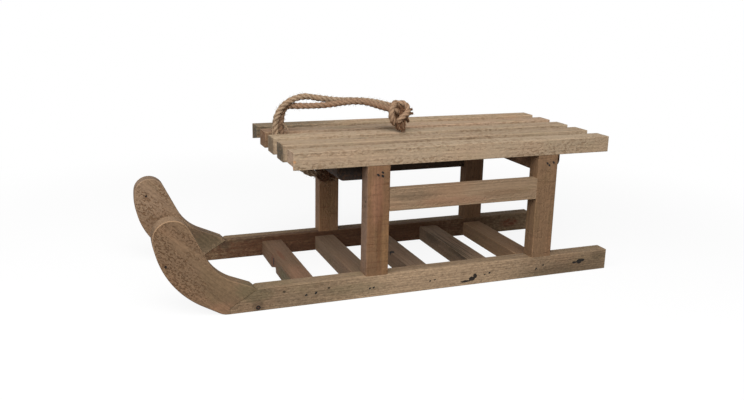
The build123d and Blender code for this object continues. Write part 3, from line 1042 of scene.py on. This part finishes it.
class SLED_OT_rope(bpy.types.Operator):
    """Two laid strands, the handle's knot, the hitch under the deck and their loose fibres"""

    bl_idname = "sled.rope"
    bl_label = "Rope handle"

    # Points in each stretch of a line, for strands, for turns of a knot and for what is short
    FINENESS = 20
    TURN_FINENESS = 10
    SHORT_FINENESS = 8

    # Angle at which the plies of a strand start
    START_TURN = 0.8

    # Loose fibres. Columns: density and length as shares of the settings, lean, thickness in millimetres
    FUZZ = {
        "strand": (1.0, 1.0, 1.1, 0.11),
        "knot": (1.0, 0.7, 1.1, 0.11),
        "ends": (3.0, 0.8, 0.9, 0.11),
        "hitch": (5.0, 1.5, 1.2, 0.11),
        "strings": (0.25, 4.0, 1.0, 0.4),
    }
    FUZZ_SEED = 5
    PER_SQUARE_CM = 1e4

    # Thickness of the strands' ends inside the knot, of rope in the hitch and of loose yarns
    END_THICKNESS = (0.97, 0.97)
    HITCH_THICKNESS = (0.85, 0.85)
    LOOSE_THICKNESS = (0.28, 0.28)

    # How far into the knot the strands' ends are led
    END_DEPTHS = (-2, 3, 7)

    # Yarns of the tail in the knot's own colour and in the dirty one. Columns: number, seed
    CLEAN_TAIL = (5, 9)
    DIRTY_TAIL = (22, 4)

    # Windings of the hitch. Columns: first and last radius, turns, tilt, first angle. Then the points in a
    # turn, and how far back from the hitch's face they start and run
    WINDINGS = [((9.0, 8.5), 2.3, 2.5, 0.2), ((4.0, 5.0), 1.2, -4.0, 2.0)]
    TURN_POINTS = 36
    WOUND_FROM = 4.5
    WOUND_RUN = 19.0

    def execute(self, context):
        rope = context.scene.sled.rope
        colour, shade, frayed = (tuple(part) for part in (rope.colour, rope.shade, rope.frayed))
        self.upper = rope_material("rope_upper", colour, shade)
        self.lower = rope_material("rope_lower", tinted(colour, 0.82, 0.7, 0.66), shade)
        self.knotted = rope_material("rope_knotted", tinted(colour, 1.0, 0.9, 0.86), shade)
        self.frayed = rope_material("rope_frayed", frayed, tinted(frayed, 0.3, 0.3, 0.3))
        self.pale = fibre_material("loose_fibre", colour)
        self.dirty = fibre_material("frayed_fibre", tinted(frayed, 1.5, 1.5, 1.45))
        # Rope of the hitch under the deck: the dirty frayed colour, darkened further as painted shade
        dark, darkest = tinted(frayed, 0.6, 0.5, 0.45), tinted(frayed, 0.2, 0.18, 0.16)
        self.dark = rope_material("rope_dark", dark, darkest)
        self.fibres = fibre_tree()

        extras = [*self.handle_knot(rope), *self.hitch(rope), self.loose_yarns(rope)]
        for node, length, low, high, middle in STRANDS:
            start = HITCH_FACE + Vector((0, low, 0))
            end = KNOT_FACE + Vector((0, high[0], 0)) + FACE_UP * high[1]
            route = [start, start + Vector((HITCH_RUN, 0, 0)), *middle, end - INTO_KNOT * LAST_RUN, end]
            path = spline_points(route, self.FINENESS)
            laid = RopeMesh(rope)
            laid.lay(path, self.START_TURN)
            strand = laid.piece(node.replace("rope", "handle"), self.upper if extras else self.lower)
            fuzz = self.fuzz(rope, strand, "strand", self.pale)
            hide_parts(node)
            self.hand_over(strand, fuzz)
            extras = []
        return {"FINISHED"}

    def hand_over(self, *pieces):
        for piece in pieces:
            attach(piece, "root")

    def fuzz(self, rope, piece, kind, material):
        """Loose fibres on a piece of rope."""
        density, length, lean, thickness = self.FUZZ[kind]
        values = {
            "Density": rope.fuzz * density * self.PER_SQUARE_CM, "Length": rope.fibre_length * length,
            "Thickness": thickness * MM, "Lean": lean, "Seed": self.FUZZ_SEED, "Material": material,
        }
        return through_nodes(piece.name + "_fuzz", piece.data.copy(), self.fibres, values)

    def turns(self, mesh, rows):
        """Lays turns of rope that are given from the knot's centre."""
        for first, last, points in rows:
            route = [KNOT_CENTRE + Vector((-back, left, up)) for back, up, left in points]
            mesh.lay(spline_points(route, self.TURN_FINENESS), thickness=(first, last))

    def handle_knot(self, rope):
        body = RopeMesh(rope)
        self.turns(body, KNOT_TURNS)
        self.tail(body, *self.CLEAN_TAIL)
        for _, _, _, (across, up), _ in STRANDS:
            mouth = KNOT_FACE + Vector((0, across, 0)) + FACE_UP * up
            inside = [*(mouth + INTO_KNOT * depth for depth in self.END_DEPTHS), KNOT_CENTRE]
            body.lay(spline_points(inside, self.SHORT_FINENESS), thickness=self.END_THICKNESS)
        knot = body.piece("handle_knot", self.knotted)
        ends = RopeMesh(rope)
        self.turns(ends, KNOT_CORE + CUT_ENDS)
        self.tail(ends, *self.DIRTY_TAIL)
        frayed = ends.piece("handle_knot_ends", self.frayed)
        fuzz = self.fuzz(rope, knot, "knot", self.pale)
        brush = self.fuzz(rope, frayed, "ends", self.dirty)
        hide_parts("rope_knot")
        pieces = [knot, frayed, fuzz, brush]
        self.hand_over(*pieces)
        return pieces

    def tail(self, mesh, yarns, seed):
        """A cut end that has come apart into yarns and hangs down on the deck."""
        chance = random.Random(seed)
        for _ in range(yarns):
            spread = Vector([chance.uniform(-1, 1) for _ in range(3)])
            share = chance.uniform(0.7, 1.0)
            start = TAIL_FROM + Vector(tinted(spread, *ROOT_SPREAD))
            end = TAIL_FROM + (TAIL_TO - TAIL_FROM) * share + Vector(tinted(spread, *TIP_SPREAD))
            middle = (start + end) / 2 + Vector([chance.uniform(-YARN_BEND, YARN_BEND) for _ in range(3)])
            self.turns(mesh, [(*YARN_THICKNESS, [start, middle, (middle + end) / 2, end])])

    def hitch(self, rope):
        body = RopeMesh(rope)
        for winding in self.WINDINGS:
            body.lay(self.wound(*winding), thickness=self.HITCH_THICKNESS)
        hitch = body.piece("handle_hitch", self.dark)
        fuzz = self.fuzz(rope, hitch, "hitch", self.dirty)
        strings = self.fuzz(rope, hitch, "strings", self.pale)
        strings.name = "handle_hitch_strings"
        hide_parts("rope_hitch")
        pieces = [hitch, fuzz, strings]
        self.hand_over(*pieces)
        return pieces

    def wound(self, radii, turns, tilt, start):
        """Points of rope that is wound round the strands under the deck."""
        points = []
        steps = int(turns * self.TURN_POINTS)
        for i in range(steps + 1):
            share = i / steps
            angle = start + 2 * math.pi * turns * share
            radius = radii[0] + (radii[1] - radii[0]) * share
            back = self.WOUND_FROM + self.WOUND_RUN * share + tilt * math.cos(angle)
            spot = Vector((-back, radius * math.cos(angle), radius * math.sin(angle)))
            points.append((HITCH_FACE + spot) * MM)
        return points

    def loose_yarns(self, rope):
        mesh = RopeMesh(rope)
        for route in LOOSE_YARNS:
            mesh.lay(spline_points(route, self.SHORT_FINENESS), thickness=self.LOOSE_THICKNESS)
        yarns = mesh.piece("handle_yarns", self.upper)
        self.hand_over(yarns)
        return yarns


class SLED_OT_deck(bpy.types.Operator):
    """Bleached finish of the five deck slats"""

    bl_idname = "sled.deck"
    bl_label = "Deck slats"

    # Columns: node, pith across and up, pink, olive
    SLATS = [
        ("deck_slat_1", (120, 150), 0.25, 0.2),
        ("deck_slat_2", (60, 140), 0.2, 0.35),
        ("deck_slat_3", (-30, 146), 0.35, 0.25),
        ("deck_slat_4", (-70, 150), 0.5, 0.5),
        ("deck_slat_5", (-110, 136), 0.7, 0.3),
    ]

    def execute(self, context):
        colour = context.scene.sled.wood.deck
        for node, pith, pink, olive in self.SLATS:
            old_wood(
                node, "X", colour, (0, *pith), torn=0.65, pink=pink, olive=olive, level=2.0, specks=0.45,
            )
        return {"FINISHED"}


class SLED_OT_sides(bpy.types.Operator):
    """Finish of the runners, posts and ties"""

    bl_idname = "sled.sides"
    bl_label = "Runners, posts and ties"

    def execute(self, context):
        wood = context.scene.sled.wood
        for side, sign in SIDES.items():
            y = sign * OUTER
            old_wood(f"runner_{side}", "X", wood.runner, (0, y * 1.1, -22), olive=0.5, grain=0.12, specks=0.7)
            old_wood(f"tie_{side}", "X", wood.tie, (0, y * 0.7, 90), torn=0.16, pink=0.4, specks=0.05)
            for end, bands in (("front", 0.5), ("rear", 0.15)):
                node = f"post_{end}_{side}"
                pith = (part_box(node)[0].x / MM - 12, sign * 70, 0)
                old_wood(node, "Z", wood.post, pith, torn=0.14, bands=bands, olive=0.5, specks=0.4)
        return {"FINISHED"}


class SLED_OT_horns(bpy.types.Operator):
    """Rough sawn finish of the two horns"""

    bl_idname = "sled.horns"
    bl_label = "Horns"

    GRAIN_TURN = math.radians(42)

    def execute(self, context):
        colour = context.scene.sled.wood.horn
        for side, sign in SIDES.items():
            old_wood(
                f"horn_{side}", "X", colour, (0, sign * 160, -60), torn=0.9, olive=0.4,
                turn=self.GRAIN_TURN, patchy=True, specks=0.6,
            )
        return {"FINISHED"}


class SLED_OT_floor_slats(bpy.types.Operator):
    """Darker finish of the slats between the runners, and the bearers under the deck"""

    bl_idname = "sled.floor_slats"
    bl_label = "Floor slats and bearers"

    def execute(self, context):
        wood = context.scene.sled.wood
        for node in sorted(NODES):
            if node.startswith("floor_slat"):
                pith = (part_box(node)[0].x / MM - 20, 0, -14)
                old_wood(node, "Y", wood.floor_slat, pith, torn=0.25, olive=0.5)
            if node.startswith("bearer"):
                old_wood(node, "Y", wood.bearer, (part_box(node)[1].x / MM, 0, 120), torn=0.5)
        return {"FINISHED"}


class SLED_OT_fastenings(bpy.types.Operator):
    """Nail heads in the sides and the screw in each scarf"""

    bl_idname = "sled.fastenings"
    bl_label = "Nails and screws"

    NAIL_SEED = 3

    # Rings of a screw's head. Columns: share of its radius, height over the wood as a share of it
    RINGS = [(1.0, 0.0), (0.9, 0.12), (0.72, 0.12), (0.5, 0.02), (0.25, 0.06)]
    RIM_RINGS = 3
    RING_SIDES = 20

    def execute(self, context):
        settings = context.scene.sled.fastenings
        iron = self.iron("rusted_iron", tuple(settings.iron))
        self.rusty = self.iron("rusty_middle", srgb(74, 48, 34))
        tree = nail_tree()
        for side, sign in SIDES.items():
            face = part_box(f"runner_{side}")[0 if sign < 0 else 1].y
            mesh = bpy.data.meshes.new(f"nail_places_{side}")
            mesh.from_pydata([(x * MM, face, z * MM) for x, z, _, _ in NAILS], [], [])
            facing = mesh.attributes.new("facing", "FLOAT_VECTOR", "POINT")
            facing.data.foreach_set("vector", [0.0, float(sign), 0.0] * len(NAILS))
            columns = {"size": [row[2] for row in NAILS], "lean": [math.radians(row[3]) for row in NAILS]}
            for label, column in columns.items():
                mesh.attributes.new(label, "FLOAT", "POINT").data.foreach_set("value", column)
            values = {
                "Long": settings.nail_length, "Wide": settings.nail_width, "Proud": settings.nail_proud,
                "Seed": self.NAIL_SEED, "Material": iron,
            }
            nails = through_nodes(f"nails_{side}", mesh, tree, values)
            screw = self.screw(f"scarf_screw_{side}", settings.screw / 2, face, sign, iron)
            for piece in (nails, screw):
                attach(piece, "root")
        return {"FINISHED"}

    def screw(self, name, radius, face, sign, iron):
        """Sunk screw head: a dark rim round a lower middle."""
        sides = self.RING_SIDES
        x, z = SCARF_SCREW
        verts = []
        for share, high in self.RINGS:
            for step in range(sides):
                angle = 2 * math.pi * step / sides
                across, up = math.cos(angle) * share * radius, math.sin(angle) * share * radius
                verts.append((x * MM - sign * across, face + sign * high * radius, z * MM + up))
        faces = tube_faces(0, len(self.RINGS), sides)
        faces.append(tuple(range(len(verts) - sides, len(verts))))
        mesh = bpy.data.meshes.new(name)
        mesh.from_pydata(verts, [], faces)
        mesh.materials.append(iron)
        mesh.materials.append(self.rusty)
        for face_number, polygon in enumerate(mesh.polygons):
            polygon.material_index = int(face_number >= self.RIM_RINGS * sides)
        return new_piece(name, mesh)

    def iron(self, name, colour):
        material = new_material(name)
        board = Board(material.node_tree)
        rust = board.cloud(board.node("ShaderNodeTexCoord", output=3), 3.0, 900.0)
        base = board.blend(colour, tinted(colour, 2.0, 1.6, 1.4), board.fade(rust, 0.55, 0.75))
        board.surface(base, 0.6 + rust * 0.3, rust, 0.15 * MM)
        return material


class SLED_PT_panel(bpy.types.Panel):
    """Lists the sled's sizes, colours and pieces"""

    bl_idname = "SLED_PT_panel"
    bl_label = "Wooden sled"
    bl_space_type = "VIEW_3D"
    bl_region_type = "UI"
    bl_category = "Sled"

    def draw(self, context):
        settings = context.scene.sled
        for operator in OPERATORS:
            self.layout.operator(operator.bl_idname)
        for group in (settings.wood, settings.rope, settings.fastenings, settings.stage):
            box = self.layout.box()
            for name in group.bl_rna.properties.keys():
                if name not in ("rna_type", "name"):
                    box.prop(group, name)


OPERATORS = [
    SLED_OT_stage, SLED_OT_rope, SLED_OT_deck, SLED_OT_sides, SLED_OT_horns, SLED_OT_floor_slats,
    SLED_OT_fastenings,
]
CLASSES = [SledWood, SledRope, SledFastenings, SledStage, SledSettings, *OPERATORS, SLED_PT_panel]


def register():
    for cls in CLASSES:
        bpy.utils.register_class(cls)
    bpy.types.Scene.sled = PointerProperty(type=SledSettings)


def unregister():
    del bpy.types.Scene.sled
    for cls in reversed(CLASSES):
        bpy.utils.unregister_class(cls)


def main():
    register()
    bpy.ops.sled.stage()
    bpy.ops.sled.rope()
    bpy.ops.sled.deck()
    bpy.ops.sled.sides()
    bpy.ops.sled.horns()
    bpy.ops.sled.floor_slats()
    bpy.ops.sled.fastenings()


if __name__ == "__main__":
    main()
